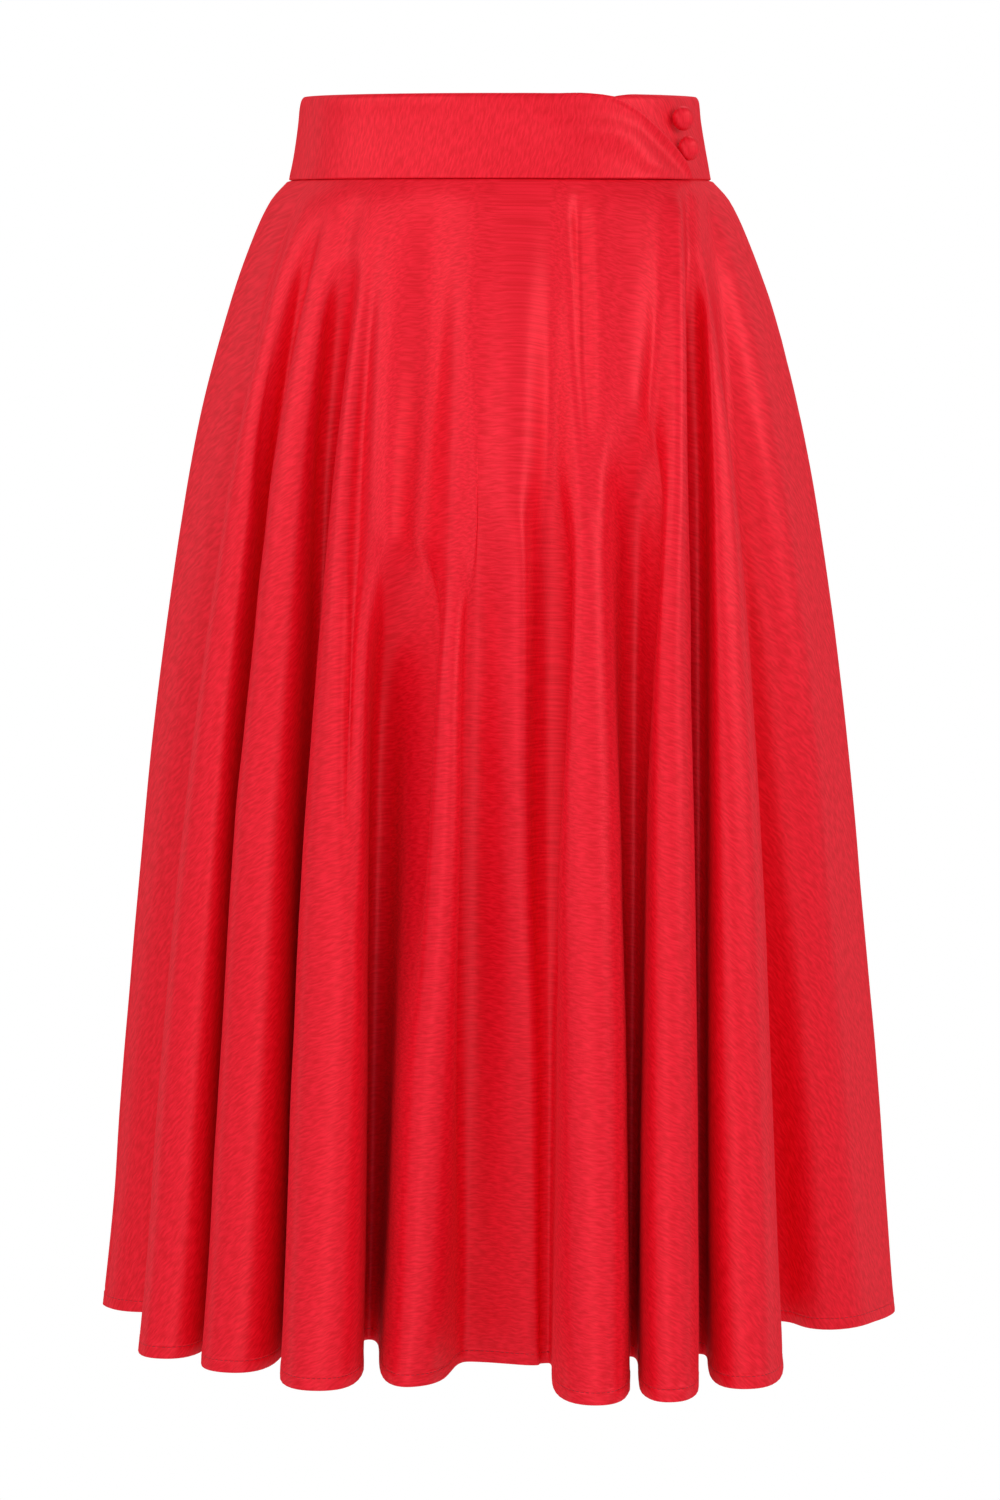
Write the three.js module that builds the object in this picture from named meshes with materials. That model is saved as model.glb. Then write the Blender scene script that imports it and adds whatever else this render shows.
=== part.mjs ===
// Circle skirt in its worn, hollow form: two flared panels hang from a shaped waistband whose front
// end crosses over as a flap beside two covered buttons.
// Millimetres, +Z up. The front faces -Y and +X is the wearer's left. The origin is the centre of the
// waist, half way up the waistband. Angles go round from the front (0) by +X (90) to the back (180).
import * as THREE from "three";

// Driving sizes
const BAND_TOP = 25;
const BAND_WALL = 2.4;
const SKIRT_TOP = -25.15;
const SKIRT_DROP = 695;
const CLOTH_WALL = 1.4;
const SEAM_GAP = 0.3;
const BUTTON_RADIUS = 7.3;
const BUTTON_DOME = 5.4;
const BUTTON_RIM = 1.6;
const SHANK_RADIUS = 2.2;
const SHANK_LENGTH = 2.9;
const BUTTON_FACING = 38;
const DOME_FULLNESS = 0.8;

// How finely the walls are divided
const STEPS_BETWEEN_CREASES = 6;
const STEP_CROWDING = 0.6;
const SKIRT_ROWS = 13;
const ROW_CROWDING = 1.25;
const FRONT_BAND_COLUMNS = 30;
const BACK_BAND_COLUMNS = 42;
const BUTTON_SIDES = 24;
const BUTTON_STEPS = 6;

const CLOTH_RED = 0xd3182b;
const BUTTON_RED = 0xdc1f33;
const CLOTH_ROUGHNESS = 0.42;

// The figure's outline and the flare over it, as half axes of an oval at each distance below the seam.
const SKIRT_SECTIONS = [
  { below: 0, halfWidth: 128, front: 95, back: 95 },
  { below: 12, halfWidth: 138.7, front: 102, back: 103 },
  { below: 36, halfWidth: 150.3, front: 112, back: 116 },
  { below: 72, halfWidth: 163.3, front: 126, back: 132 },
  { below: 133, halfWidth: 180, front: 145, back: 151 },
  { below: 193, halfWidth: 192, front: 160, back: 164 },
  { below: 316, halfWidth: 210, front: 187, back: 183 },
  { below: 440, halfWidth: 223.5, front: 212, back: 198 },
  { below: 564, halfWidth: 234.5, front: 235, back: 211 },
  { below: 627, halfWidth: 239, front: 247, back: 217 },
  { below: 695, halfWidth: 245.5, front: 261, back: 225 },
];

// The waistband's half axes; its folded top edge turns in a little.
const BAND_SECTIONS = [
  { below: 0, halfWidth: 117.6, front: 87, back: 87 },
  { below: 3, halfWidth: 119.4, front: 88.8, back: 88.8 },
  { below: 15, halfWidth: 120.8, front: 90, back: 90 },
  { below: 25, halfWidth: 122.2, front: 91, back: 91 },
  { below: 38, halfWidth: 124.4, front: 92.6, back: 92.6 },
  { below: 49.85, halfWidth: 126.9, front: 94.4, back: 94.4 },
];

// The crest of each fold and the bottom of each valley between, in turn from the left side seam round
// by the front. waist is its angle at the waist seam; x and front place it at the hem, front being the
// distance towards the front; facing is the way its outside looks at the hem and width how broadly it
// bends; start is the share of the drop where it begins, growth the power it opens out with, and late
// how much of its way sideways is left to the lower rows.
const CREASES = [
  { waist: -92, x: -245.5, front: -8, facing: -66, width: 32, start: 0.02, growth: 0.9, late: 1 },
  { waist: -63, x: -196, front: 14, facing: -50, width: 14, start: 0, growth: 0.7, late: 1 },
  { waist: -54, x: -203, front: 138, facing: -16, width: 38, start: 0, growth: 0.8, late: 4 },
  { waist: -49, x: -165, front: 76, facing: -30, width: 14, start: 0.03, growth: 0.44, late: 1 },
  { waist: -44.5, x: -159, front: 175, facing: -12, width: 42, start: 0, growth: 0.8, late: 1 },
  { waist: -37.5, x: -120, front: 84, facing: -15, width: 14, start: 0.06, growth: 0.42, late: 1 },
  { waist: -31, x: -106, front: 221, facing: -3, width: 48, start: 0.03, growth: 0.85, late: 1 },
  { waist: -19, x: -79, front: 86, facing: 0, width: 17, start: 0.36, growth: 0.42, late: 6 },
  { waist: -8, x: -52, front: 211, facing: 10, width: 36, start: 0.1, growth: 1, late: 8 },
  { waist: -4, x: -18, front: 146, facing: -6, width: 22, start: 0.2, growth: 1, late: 8 },
  { waist: 0, x: 19, front: 156, facing: 0, width: 8, start: 0.25, growth: 1, late: 1 },
  { waist: 12.5, x: 28, front: 150, facing: 8, width: 9, start: 0.2, growth: 1, late: 1 },
  { waist: 18, x: 55, front: 257, facing: 2, width: 38, start: 0.12, growth: 1, late: 1 },
  { waist: 38, x: 77, front: 132, facing: 5, width: 15, start: 0.16, growth: 0.5, late: 1 },
  { waist: 55, x: 98, front: 249, facing: 10, width: 32, start: 0.08, growth: 0.9, late: 1 },
  { waist: 60, x: 118, front: 126, facing: 10, width: 15, start: 0.06, growth: 0.42, late: 1 },
  { waist: 65, x: 145, front: 216, facing: 12, width: 40, start: 0.06, growth: 0.9, late: 1 },
  { waist: 69.5, x: 170, front: 50, facing: 16, width: 17, start: 0.05, growth: 0.9, late: 1 },
  { waist: 82, x: 232, front: 31, facing: 50, width: 60, start: 0.04, growth: 0.9, late: 1 },
  { waist: 98, x: 204, front: -54, facing: 92, width: 14, start: 0.1, growth: 0.85, late: 4 },
  { waist: 108, x: 220, front: -116, facing: 112, width: 38, start: 0.06, growth: 0.9, late: 4 },
  { waist: 119, x: 138, front: -72, facing: 120, width: 14, start: 0.08, growth: 0.8, late: 4 },
  { waist: 130, x: 178, front: -172, facing: 135, width: 42, start: 0.06, growth: 0.9, late: 4 },
  { waist: 140, x: 86, front: -92, facing: 138, width: 14, start: 0.12, growth: 0.9, late: 4 },
  { waist: 150, x: 98, front: -212, facing: 158, width: 40, start: 0.06, growth: 0.9, late: 4 },
  { waist: 161, x: 38, front: -98, facing: 160, width: 13, start: 0.16, growth: 0.95, late: 4 },
  { waist: 171, x: 20, front: -225, facing: 172, width: 42, start: 0.06, growth: 0.9, late: 4 },
  { waist: 182, x: -14, front: -92, facing: 182, width: 13, start: 0.1, growth: 0.9, late: 4 },
  { waist: 193, x: -58, front: -219, facing: 192, width: 40, start: 0.06, growth: 0.9, late: 4 },
  { waist: 204, x: -66, front: -90, facing: 205, width: 13, start: 0.14, growth: 0.9, late: 4 },
  { waist: 215, x: -136, front: -193, facing: 214, width: 44, start: 0.06, growth: 0.9, late: 4 },
  { waist: 226, x: -122, front: -74, facing: 226, width: 14, start: 0.08, growth: 0.85, late: 4 },
  { waist: 238, x: -200, front: -138, facing: 236, width: 40, start: 0.06, growth: 0.9, late: 4 },
  { waist: 252, x: -180, front: -44, facing: 250, width: 14, start: 0.04, growth: 0.8, late: 4 },
];

// The side seams run down these creases: the left one on the first, the right one between two.
const RIGHT_SEAM_CREASE = 18.5;

// The angles at which the flap's free edge and the underlap's hidden end lie, from the band's top down.
const BAND_ENDS = [
  { below: 0, flap: 20, underlap: 44 },
  { below: 0.8, flap: 27, underlap: 39 },
  { below: 2.2, flap: 34, underlap: 33.5 },
  { below: 5, flap: 38, underlap: 30 },
  { below: 10, flap: 43, underlap: 27.5 },
  { below: 16, flap: 47, underlap: 26 },
  { below: 23, flap: 51, underlap: 25.4 },
  { below: 31, flap: 55.6, underlap: 25 },
  { below: 40, flap: 59.9, underlap: 25 },
  { below: 49.85, flap: 63.4, underlap: 25 },
];

// Where flap and underlap cross, each leaves the band's line by half of a wall and a little air.
const CROSSING_STEP = BAND_WALL / 2 + 0.2;
const FLAP_RISE = { from: 4, to: 23 };
const UNDERLAP_SINK = { from: 86, to: 66 };

const BUTTONS = [
  { name: "button_upper", x: 109, height: 10.3 },
  { name: "button_lower", x: 112.4, height: -7.6 },
];

// A smooth curve through one column of a table, at a given distance down.
function columnAt(table, column, below) {
  const last = table.length - 1;
  const slope = (i) => {
    const a = table[Math.max(i - 1, 0)];
    const b = table[Math.min(i + 1, last)];
    return (b[column] - a[column]) / (b.below - a.below);
  };
  let i = 0;
  while (i < last - 1 && below > table[i + 1].below) i++;
  const span = table[i + 1].below - table[i].below;
  const s = (below - table[i].below) / span;
  const start = table[i][column] * (1 + 2 * s) * (1 - s) ** 2 + slope(i) * span * s * (1 - s) ** 2;
  const end = table[i + 1][column] * s * s * (3 - 2 * s) - slope(i + 1) * span * s * s * (1 - s);
  return start + end;
}

function ovalAt(table, below) {
  return {
    halfWidth: columnAt(table, "halfWidth", below),
    front: columnAt(table, "front", below),
    back: columnAt(table, "back", below),
  };
}

// A point of the oval in plan: x, and the distance towards the front.
function onOval(oval, angle) {
  const radians = THREE.MathUtils.degToRad(angle);
  const depth = Math.cos(radians) > 0 ? oval.front : oval.back;
  return new THREE.Vector2(oval.halfWidth * Math.sin(radians), depth * Math.cos(radians));
}

// The way the oval's outside looks at that angle. Past the back it goes on beyond 180 as the angle does,
// up to the left side seam, whose creases start a little behind -90.
const LEFT_SEAM_LIMIT = -110;

function facingOfOval(oval, angle) {
  const radians = THREE.MathUtils.degToRad(angle);
  const depth = Math.cos(radians) > 0 ? oval.front : oval.back;
  const facing = THREE.MathUtils.radToDeg(
    Math.atan2(Math.sin(radians) / oval.halfWidth, Math.cos(radians) / depth),
  );
  return facing < LEFT_SEAM_LIMIT ? facing + 360 : facing;
}

// One crease at a share of the drop: its place in plan, its direction along the ring and its reach.
// Sideways it goes over from its place at the waist to its place at the hem as the outline widens, so
// that folds run straight down; its depth, in or out of the outline, opens with the share of the drop.
function creaseAt(crease, share) {
  const waist = SKIRT_SECTIONS[0];
  const hem = SKIRT_SECTIONS[SKIRT_SECTIONS.length - 1];
  const oval = ovalAt(SKIRT_SECTIONS, share * SKIRT_DROP);
  const begun = Math.max(share - crease.start, 0) / (1 - crease.start);
  const opened = begun ** crease.growth;
  const spread = (1 / waist.halfWidth - 1 / oval.halfWidth) / (1 / waist.halfWidth - 1 / hem.halfWidth);
  const radians = THREE.MathUtils.degToRad(crease.waist);
  const side = Math.cos(radians) > 0 ? 1 : -1;
  const foot = crease.x / hem.halfWidth;
  const x = THREE.MathUtils.lerp(Math.sin(radians), foot, Math.max(spread, 0) ** crease.late);
  const level = levelAt(x);
  const footDepth = Math.abs(crease.front) / (side > 0 ? hem.front : hem.back);
  const depth = level + opened * (footDepth - levelAt(foot));
  const place = new THREE.Vector2(x * oval.halfWidth, side * depth * (side > 0 ? oval.front : oval.back));
  const angle = THREE.MathUtils.radToDeg(Math.atan2(x, side * level));
  const facing = THREE.MathUtils.lerp(facingOfOval(oval, angle), crease.facing, opened);
  const turned = THREE.MathUtils.degToRad(facing);
  const along = new THREE.Vector2(Math.cos(turned), -Math.sin(turned));
  return { place, along, opened, width: crease.width };
}

// How far forward a circle of radius 1 lies at a place across it.
function levelAt(x) {
  return Math.sqrt(Math.max(1 - x * x, 0));
}

// How far a crease's curve holds its direction before it turns to the next crease.
function reach(crease, distance) {
  return THREE.MathUtils.lerp(distance / 3, crease.width, crease.opened);
}

// The steps between two creases, crowded towards both, where the cloth bends most.
const STEPS = Array.from({ length: STEPS_BETWEEN_CREASES }, (_, i) => {
  const even = i / STEPS_BETWEEN_CREASES;
  return even - (STEP_CROWDING * Math.sin(2 * Math.PI * even)) / (2 * Math.PI);
});

// The closed ring of the cloth's middle at a share of the drop.
function skirtRing(share) {
  const height = SKIRT_TOP - share * SKIRT_DROP;
  const creases = CREASES.map((crease) => creaseAt(crease, share));
  return creases.flatMap((here, i) => {
    const next = creases[(i + 1) % creases.length];
    const distance = here.place.distanceTo(next.place);
    const curve = new THREE.CubicBezierCurve(
      here.place,
      here.place.clone().addScaledVector(here.along, reach(here, distance)),
      next.place.clone().addScaledVector(next.along, -reach(next, distance)),
      next.place,
    );
    const points = STEPS.map((step) => curve.getPoint(step));
    return points.map((p) => new THREE.Vector3(p.x, -p.y, height));
  });
}

// The outward direction at each point of a grid of rows; a closed grid joins its last column to its first.
// It is level along the top and bottom rows, which keeps a wall's edges flat.
function outwardOf(grid, closed) {
  const rows = grid.length;
  const columns = grid[0].length;
  const beside = (c) => (closed ? (c + columns) % columns : THREE.MathUtils.clamp(c, 0, columns - 1));
  return grid.map((row, r) =>
    row.map((_, c) => {
      const down = grid[Math.min(r + 1, rows - 1)][c].clone().sub(grid[Math.max(r - 1, 0)][c]);
      const along = row[beside(c + 1)].clone().sub(row[beside(c - 1)]);
      const out = down.cross(along);
      if (r === 0 || r === rows - 1) out.z = 0;
      return out.normalize();
    }),
  );
}

// A closed wall of even thickness about a grid of points, its rows running down and its columns round.
function wall(middle, outward, thickness) {
  const rows = middle.length;
  const columns = middle[0].length;
  const positions = [];
  for (const side of [0.5, -0.5]) {
    middle.forEach((row, r) =>
      row.forEach((p, c) => {
        positions.push(...p.clone().addScaledVector(outward[r][c], side * thickness));
      }),
    );
  }
  const outer = (r, c) => r * columns + c;
  const inner = (r, c) => (rows + r) * columns + c;
  const faces = [];
  const quad = (a, b, c, d) => faces.push(a, b, c, a, c, d);
  for (let r = 0; r < rows - 1; r++) {
    for (let c = 0; c < columns - 1; c++) {
      quad(outer(r, c), outer(r + 1, c), outer(r + 1, c + 1), outer(r, c + 1));
      quad(inner(r, c), inner(r, c + 1), inner(r + 1, c + 1), inner(r + 1, c));
    }
    quad(outer(r + 1, 0), outer(r, 0), inner(r, 0), inner(r + 1, 0));
    const end = columns - 1;
    quad(outer(r, end), outer(r + 1, end), inner(r + 1, end), inner(r, end));
  }
  for (let c = 0; c < columns - 1; c++) {
    const hem = rows - 1;
    quad(outer(0, c), outer(0, c + 1), inner(0, c + 1), inner(0, c));
    quad(outer(hem, c), inner(hem, c), inner(hem, c + 1), outer(hem, c + 1));
  }
  const geometry = new THREE.BufferGeometry();
  geometry.setAttribute("position", new THREE.Float32BufferAttribute(positions, 3));
  geometry.setIndex(faces);
  geometry.computeVertexNormals();
  return geometry;
}

// Draws both ends of each row back along the cloth by half of a seam's gap.
function trimEnds(grid) {
  return grid.map((row) => {
    const trimmed = row.map((p) => p.clone());
    const last = row.length - 1;
    const draw = (end, inside) => {
      const way = row[inside].clone().sub(row[end]).setLength(SEAM_GAP / 2);
      trimmed[end].add(way);
    };
    draw(0, 1);
    draw(last, last - 1);
    return trimmed;
  });
}

function cloth(name, geometry, color) {
  const material = new THREE.MeshStandardMaterial({ color, roughness: CLOTH_ROUGHNESS, metalness: 0 });
  const mesh = new THREE.Mesh(geometry, material);
  mesh.name = name;
  return mesh;
}

function skirtPanels() {
  const shares = Array.from({ length: SKIRT_ROWS + 1 }, (_, i) => (i / SKIRT_ROWS) ** ROW_CROWDING);
  const rings = shares.map(skirtRing);
  const outward = outwardOf(rings, true);
  const columns = rings[0].length;
  const seam = RIGHT_SEAM_CREASE * STEPS_BETWEEN_CREASES;
  const panel = (name, from, to) => {
    const pick = (row) => Array.from({ length: to - from + 1 }, (_, i) => row[(from + i) % columns]);
    return cloth(name, wall(trimEnds(rings.map(pick)), outward.map(pick), CLOTH_WALL), CLOTH_RED);
  };
  return [panel("skirt_front", 0, seam), panel("skirt_back", seam, columns)];
}

// A stretch of the waistband; ends gives the angles where each of its rows starts and stops.
function bandWall(columns, ends, stepOut) {
  const grid = BAND_ENDS.map((row) => {
    const oval = ovalAt(BAND_SECTIONS, row.below);
    const [from, to] = ends(row);
    return Array.from({ length: columns + 1 }, (_, i) => {
      const angle = THREE.MathUtils.lerp(from, to, i / columns);
      const place = onOval(oval, angle);
      const facing = THREE.MathUtils.degToRad(facingOfOval(oval, angle));
      place.x += Math.sin(facing) * stepOut(angle);
      place.y += Math.cos(facing) * stepOut(angle);
      return new THREE.Vector3(place.x, -place.y, BAND_TOP - row.below);
    });
  });
  return wall(trimEnds(grid), outwardOf(grid, false), BAND_WALL);
}

function ramp(angle, { from, to }) {
  return THREE.MathUtils.smootherstep((angle - from) / (to - from), 0, 1);
}

function flapStep(angle) {
  return CROSSING_STEP * ramp(angle, FLAP_RISE);
}

function underlapStep(angle) {
  return -CROSSING_STEP * ramp(angle, UNDERLAP_SINK);
}

function waistband() {
  const front = bandWall(FRONT_BAND_COLUMNS, ({ flap }) => [-90, flap], flapStep);
  const back = bandWall(BACK_BAND_COLUMNS, ({ underlap }) => [underlap, 270], underlapStep);
  return [cloth("waistband_front", front, CLOTH_RED), cloth("waistband_back", back, CLOTH_RED)];
}

// A domed button covered in the cloth, with the short shank that it is sewn on by; its axis is +Y.
function buttonShape() {
  const profile = [new THREE.Vector2(0, 0), new THREE.Vector2(SHANK_RADIUS, 0)];
  profile.push(new THREE.Vector2(SHANK_RADIUS, SHANK_LENGTH));
  profile.push(new THREE.Vector2(BUTTON_RADIUS - BUTTON_RIM / 2, SHANK_LENGTH));
  for (let i = 0; i < BUTTON_STEPS; i++) {
    const angle = (i / BUTTON_STEPS) * (Math.PI / 2);
    const x = BUTTON_RADIUS * Math.cos(angle) ** DOME_FULLNESS;
    const y = SHANK_LENGTH + BUTTON_RIM / 2 + (BUTTON_DOME - BUTTON_RIM / 2) * Math.sin(angle);
    profile.push(new THREE.Vector2(x, y));
  }
  profile.push(new THREE.Vector2(0, SHANK_LENGTH + BUTTON_DOME));
  return new THREE.LatheGeometry(profile, BUTTON_SIDES);
}

// Each button stands on the underlap's outer face and leans a little towards the front.
function buttons() {
  return BUTTONS.map(({ name, x, height }) => {
    const oval = ovalAt(BAND_SECTIONS, BAND_TOP - height);
    const angle = THREE.MathUtils.radToDeg(Math.asin(x / oval.halfWidth));
    const foot = onOval(oval, angle);
    const face = THREE.MathUtils.degToRad(facingOfOval(oval, angle));
    const lift = BAND_WALL / 2 + underlapStep(angle) + SEAM_GAP;
    const button = cloth(name, buttonShape(), BUTTON_RED);
    const lean = THREE.MathUtils.degToRad(BUTTON_FACING);
    const tilt = Math.sin(face - lean) * SHANK_RADIUS;
    foot.x += Math.sin(face) * (lift + tilt);
    foot.y += Math.cos(face) * (lift + tilt);
    button.position.set(foot.x, -foot.y, height);
    const axis = new THREE.Vector3(Math.sin(lean), -Math.cos(lean), 0);
    button.quaternion.setFromUnitVectors(new THREE.Vector3(0, 1, 0), axis);
    return button;
  });
}

const skirt = new THREE.Group();
skirt.add(...waistband(), ...skirtPanels(), ...buttons());

export default skirt;
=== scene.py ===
import math

import bpy
import numpy as np
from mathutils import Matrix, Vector


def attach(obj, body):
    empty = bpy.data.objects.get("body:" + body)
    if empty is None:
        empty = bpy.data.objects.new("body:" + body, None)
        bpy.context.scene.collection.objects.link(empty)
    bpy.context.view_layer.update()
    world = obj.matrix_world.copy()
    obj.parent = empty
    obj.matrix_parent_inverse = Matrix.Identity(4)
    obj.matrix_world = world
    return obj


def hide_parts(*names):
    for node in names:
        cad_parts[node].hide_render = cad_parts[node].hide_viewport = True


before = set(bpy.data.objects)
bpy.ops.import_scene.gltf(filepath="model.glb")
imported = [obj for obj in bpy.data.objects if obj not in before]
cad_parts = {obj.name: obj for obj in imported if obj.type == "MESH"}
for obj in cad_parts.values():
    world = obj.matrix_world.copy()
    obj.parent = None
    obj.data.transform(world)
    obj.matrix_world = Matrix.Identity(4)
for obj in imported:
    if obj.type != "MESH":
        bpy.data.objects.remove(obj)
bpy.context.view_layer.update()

# A circle skirt of red satin-faced crepe, worn by nobody: two flared panels, a shaped waistband that
# crosses over as a flap, and two covered buttons. Tables and sizes are in millimetres; meshes are made in
# metres. The front faces -Y and +X is the wearer's left. Angles go from the front (0) by +X (90) to the
# back (180).
MM = 0.001

BAND_TOP = 25
SKIRT_TOP = -25.15
SKIRT_DROP = 695
BAND_THICKNESS = 2.1
CLOTH_THICKNESS = 0.7

# How far the flap steps outwards and the underlap inwards where they cross, and the angles where each step
# starts and is complete.
CROSSING_STEP = 1.4
FLAP_STEP = (4, 23)
UNDERLAP_STEP = (86, 66)


def table(columns, *rows):
    """Rows of numbers under named columns."""
    return np.array(list(rows), dtype=[(name, float) for name in columns.split()])


# The outline over the figure, as half axes of an oval at each distance below the waist seam.
SKIRT_SECTIONS = table(
    "below half_width front back",
    (0, 128, 95, 95),
    (12, 138.7, 102, 103),
    (36, 150.3, 112, 116),
    (72, 163.3, 126, 132),
    (133, 180, 145, 151),
    (193, 192, 160, 164),
    (316, 210, 187, 183),
    (440, 223.5, 212, 198),
    (564, 234.5, 235, 211),
    (627, 239, 247, 217),
    (695, 245.5, 261, 225),
)

BAND_SECTIONS = table(
    "below half_width front back",
    (0, 117.6, 87, 87),
    (3, 119.4, 88.8, 88.8),
    (15, 120.8, 90, 90),
    (25, 122.2, 91, 91),
    (38, 124.4, 92.6, 92.6),
    (49.85, 126.9, 94.4, 94.4),
)

# The angles at which the flap's free edge and the underlap's hidden end lie.
BAND_ENDS = table(
    "below flap underlap",
    (0, 20, 44),
    (0.8, 27, 39),
    (2.2, 34, 33.5),
    (5, 38, 30),
    (10, 43, 27.5),
    (16, 47, 26),
    (23, 51, 25.4),
    (31, 55.6, 25),
    (40, 59.9, 25),
    (49.85, 63.4, 25),
)

# The crest of each fold and the bottom of each valley, in turn from the wearer's right round by the front.
# waist is its angle at the waist seam, x and front its place at the hem, facing the way its outside looks
# there, width how broadly it bends, start the share of the drop where it begins, growth how it opens out,
# and late how much of its way sideways is left to the lower rows.
CREASES = table(
    "waist x front facing width start growth late",
    (-92, -245.5, -8, -66, 32, 0.02, 0.9, 1),
    (-63, -196, 14, -50, 14, 0, 0.7, 1),
    (-54, -203, 138, -16, 38, 0, 0.8, 4),
    (-49, -165, 76, -30, 14, 0.03, 0.44, 1),
    (-44.5, -159, 175, -12, 42, 0, 0.8, 1),
    (-37.5, -120, 84, -15, 14, 0.06, 0.42, 1),
    (-31, -106, 221, -3, 48, 0.03, 0.85, 1),
    (-19, -79, 86, 0, 17, 0.3, 0.42, 6),
    (-8, -52, 211, 10, 30, 0.1, 1, 8),
    (-4, -18, 146, -6, 15, 0.24, 1, 8),
    (0, 19, 156, 0, 8, 0.25, 1, 1),
    (12.5, 28, 150, 8, 9, 0.2, 1, 1),
    (18, 55, 257, 2, 38, 0.12, 1, 1),
    (38, 77, 132, 5, 15, 0.18, 0.5, 1),
    (55, 98, 249, 10, 32, 0.08, 0.9, 1),
    (60, 118, 126, 10, 15, 0.06, 0.42, 1),
    (65, 145, 216, 12, 40, 0.06, 0.9, 1),
    (69.5, 170, 50, 16, 17, 0.05, 0.9, 1),
    (82, 232, 31, 50, 60, 0.04, 0.9, 1),
    (98, 204, -54, 92, 14, 0.1, 0.85, 4),
    (108, 220, -116, 112, 38, 0.06, 0.9, 4),
    (119, 138, -72, 120, 14, 0.08, 0.8, 4),
    (130, 178, -172, 135, 42, 0.06, 0.9, 4),
    (140, 86, -92, 138, 14, 0.12, 0.9, 4),
    (150, 98, -212, 158, 40, 0.06, 0.9, 4),
    (161, 38, -98, 160, 13, 0.16, 0.95, 4),
    (171, 20, -225, 172, 42, 0.06, 0.9, 4),
    (182, -14, -92, 182, 13, 0.1, 0.9, 4),
    (193, -58, -219, 192, 40, 0.06, 0.9, 4),
    (204, -66, -90, 205, 13, 0.14, 0.9, 4),
    (215, -136, -193, 214, 44, 0.06, 0.9, 4),
    (226, -122, -74, 226, 14, 0.08, 0.85, 4),
    (238, -200, -138, 236, 40, 0.06, 0.9, 4),
    (252, -180, -44, 250, 14, 0.04, 0.8, 4),
)

# The side seams at the wearer's right and left as places round the ring, counted in creases, and the angle
# under which a facing is counted on by a full turn.
RIGHT_SEAM = 0
LEFT_SEAM = 18.5
FACING_LIMIT = -110

# Each crease eases open over a share of the drop: a least one, and on top of it a part of the crease's start.
EASE_LEAST = 0.06
EASE_BY_START = 0.5

# Softer creases pressed in between the folds. at and to are places round the ring at the crease's
# top and foot, which are shares of the drop; depth is outwards, or inwards where it is below 0.
SOFT_CREASES = table(
    "at to top foot width depth",
    (0.8, 1.2, 0.03, 0.2, 9, 2),
    (2.2, 2.5, 0.02, 0.3, 6, -2.5),
    (4.6, 4.7, -0.1, 0.4, 8, -3),
    (6.02, 6.25, 0, 0.65, 6, -8),
    (6.5, 6.9, 0.08, 0.5, 9, 2.5),
    (7.42, 7.7, -0.05, 0.75, 19, -18),
    (8.1, 8, -0.05, 0.8, 12, 8),
    (8.9, 9.1, 0, 0.95, 14, -8),
    (9.6, 10.1, 0.1, 0.95, 12, 1.5),
    (11.4, 11.1, -0.05, 0.75, 13, -13),
    (12.33, 12.2, -0.3, 0.35, 6, -6),
    (13.65, 13.4, 0.02, 0.6, 9, -9),
    (14.1, 13.95, -0.15, 0.5, 8, 5),
    (14.8, 15, -0.12, 0.25, 6, -3.5),
    (16.55, 17.1, -0.1, 1.35, 12, -12),
    (17.4, 17.8, 0.05, 1.3, 22, 6),
    (19.5, 19.7, 0.05, 0.5, 8, -4),
    (20.6, 20.8, 0.1, 0.7, 12, -5),
    (22.4, 22.3, 0.05, 0.6, 9, -5),
    (23.6, 23.8, -0.05, 0.4, 8, 3),
    (24.5, 24.6, 0.08, 0.65, 10, -6),
    (26.5, 26.4, 0.05, 0.5, 9, -5),
    (27.6, 27.8, 0, 0.4, 7, 3),
    (28.5, 28.4, 0.1, 0.75, 12, -6),
    (30.5, 30.7, 0.05, 0.55, 9, -5),
    (31.7, 31.6, 0.02, 0.4, 8, 3),
    (32.6, 32.5, 0.08, 0.7, 11, -5),
    (33.5, 33.4, 0.05, 0.5, 8, -3),
)

# How much of a soft crease fades at each end, and how far under the waist seam they all fade in.
SOFT_FADE = 0.35
SOFT_FADE_IN = 24

# The cloth's small unevenness, as broad and as fine waves: turns and skew say how often they change round the
# ring, drop how far down, and place where they lie on the lattice of random heights. Both fade in at the top.
WAVES = table(
    "height turns skew drop place seed",
    (0.9, 7, 2, 150, 9, 3),
    (0.25, 22, 0, 45, 40, 5),
)
WAVES_FADE_IN = 120

# Steps round the ring between two creases, crowded at both, and more steps beside each side seam.
STEPS_BETWEEN_CREASES = 22
STEP_CROWDING = 0.6
SEAM_STEPS = (0.006, 0.014, 0.026)

# Rows down the skirt: the seam allowance tucked up behind the waistband, as a rise over the seam and a
# distance inwards; the rounded top; then even rows, closer together near the waist; then the turned hem, as
# distances above its edge.
TUCK = table("rise inward", (3, 2.6), (0.6, 2.6), (0.25, 2.4), (0.12, 2))
SHOULDER = (0, 0.3, 0.6, 1, 1.8, 3, 5, 8)
MIDDLE_ROWS = 88
ROW_CROWDING = 1.15
HEM_TURN = 8.4
HEM_STITCH_LINE = 6.9
HEM_ROWS = (12, 9.6, 9, 8.6, 8.2, 7.6, 7.2, 6.9, 6.6, 6.2, 5, 3.4, 1.8, 0.8, 0.3, 0.1, 0)

# The turned hem: the height of its upper step, how much it thickens the cloth outwards and inwards, its
# rounded edge's radius and least share of the thickness, and the groove that the stitches draw in.
HEM_STEP = 0.8
HEM_OUTWARD, HEM_INWARD = 0.2, 0.55
HEM_ROUND, HEM_THINNEST = 0.6, 0.3
GROOVE_DEPTH, GROOVE_REACH = 0.2, 0.45

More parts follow.
